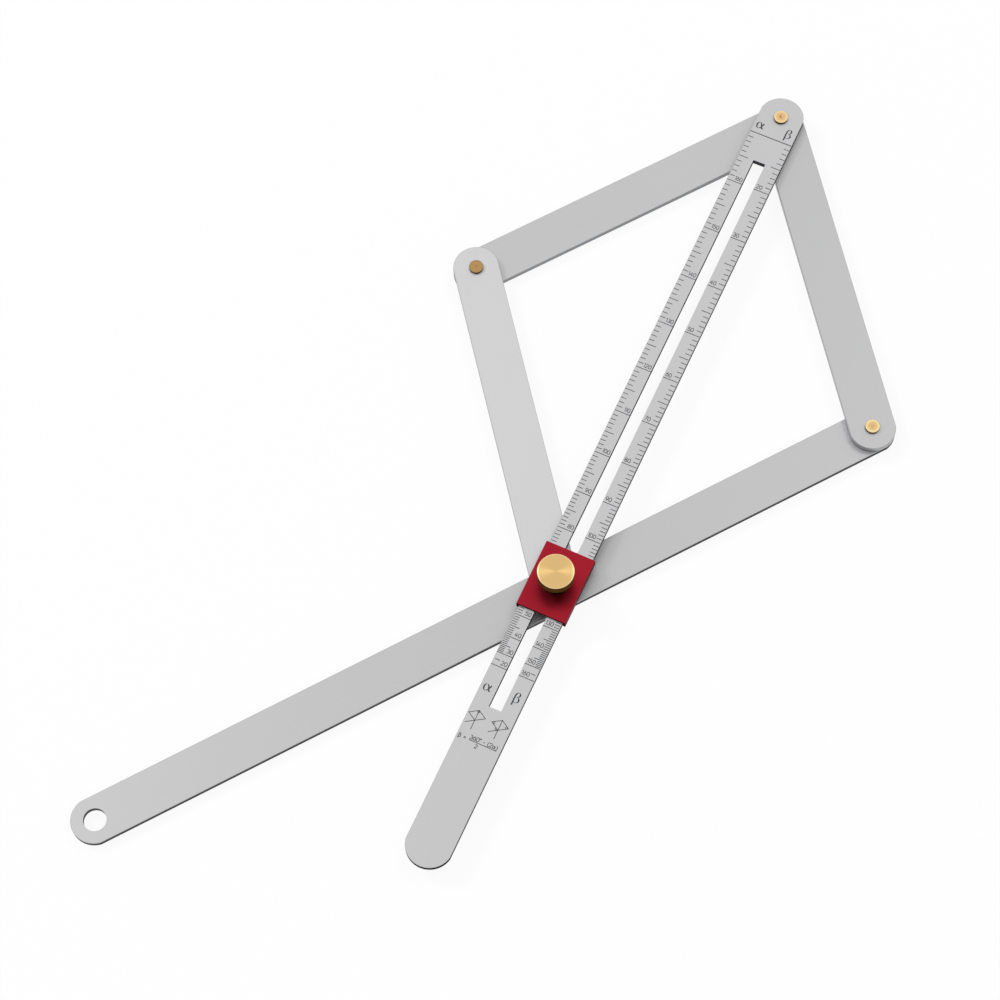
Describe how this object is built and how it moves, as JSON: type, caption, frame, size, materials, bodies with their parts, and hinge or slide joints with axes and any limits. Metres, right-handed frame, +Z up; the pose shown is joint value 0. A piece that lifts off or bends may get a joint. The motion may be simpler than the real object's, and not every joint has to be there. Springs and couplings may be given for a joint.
{
  "type": "angle finder",
  "caption": "Flat folding angle finder: a rhombus of aluminium bars with a sliding clamp that shows the angle on a slotted scale bar.",
  "frame": {"origin": "axis of the top pivot, on the plane that the tool lies flat on", "axes": "+Z up from that plane, +Y along the scale bar from its free end towards the top pivot, +X towards the right rail as the scale is read"},
  "size_m": [0.2517, 0.4473, 0.0247],
  "materials": {
    "bars": "satin natural anodised flat bar",
    "brass": "fine turned brass",
    "steel": "plain zinc plated steel",
    "slider_red": "red anodised, fine satin"
  },
  "bodies": {
    "scale_bar": {"scale_bar": "bars", "top_rivet": "brass", "top_backing_washer": "brass", "top_lower_spacer": "steel", "top_upper_spacer": "steel"},
    "right_arm": {"right_short_arm": "bars", "right_rivet": "brass", "right_backing_washer": "brass", "right_spacer": "steel"},
    "left_arm": {"left_short_arm": "bars", "left_rivet": "brass", "left_backing_washer": "brass", "left_spacer": "steel"},
    "long_arm": {"long_arm": "bars", "clamp_stud": "steel", "clamp_lower_spacer": "steel", "clamp_upper_spacer": "steel"},
    "cross_arm": {"cross_arm": "bars"},
    "slider": {"slider": "slider_red"},
    "washer": {"pressure_washer": "brass"},
    "nut": {"thumb_nut": "brass"}
  },
  "joints": [
    {"name": "rhombus_open", "type": "hinge", "parent": "scale_bar", "child": "right_arm", "pos_m": [0, 0, 0], "axis": [0, 0, 1], "range_deg": [-27.5, 47.5]},
    {"name": "left_arm_turn", "type": "hinge", "parent": "scale_bar", "child": "left_arm", "pos_m": [0, 0, 0], "axis": [0, 0, 1], "range_deg": [-47.5, 27.5]},
    {"name": "long_arm_turn", "type": "hinge", "parent": "right_arm", "child": "long_arm", "pos_m": [0.09643, -0.12567, 0], "axis": [0, 0, 1], "range_deg": [-95, 55]},
    {"name": "cross_arm_turn", "type": "hinge", "parent": "left_arm", "child": "cross_arm", "pos_m": [-0.09643, -0.12567, 0], "axis": [0, 0, 1], "range_deg": [-55, 95]},
    {"name": "slider_turn", "type": "hinge", "parent": "long_arm", "child": "slider", "pos_m": [0, -0.25133, 0], "axis": [0, 0, 1], "range_deg": [-27.5, 47.5]},
    {"name": "nut_lift", "type": "slide", "parent": "long_arm", "child": "washer", "axis": [0, 0, 1], "range_m": [0, 0.00106]},
    {"name": "nut_turn", "type": "hinge", "parent": "washer", "child": "nut", "pos_m": [0, -0.25133, 0], "axis": [0, 0, 1], "range_deg": [0, 540]}
  ],
  "couplings": [
    {"joint": "left_arm_turn", "follows": "rhombus_open", "ratio": -1},
    {"joint": "long_arm_turn", "follows": "rhombus_open", "ratio": -2},
    {"joint": "cross_arm_turn", "follows": "rhombus_open", "ratio": 2},
    {"joint": "slider_turn", "follows": "rhombus_open", "ratio": 1},
    {"joint": "nut_lift", "follows": "nut_turn", "m_per_rad": 0.00011141}
  ]
}
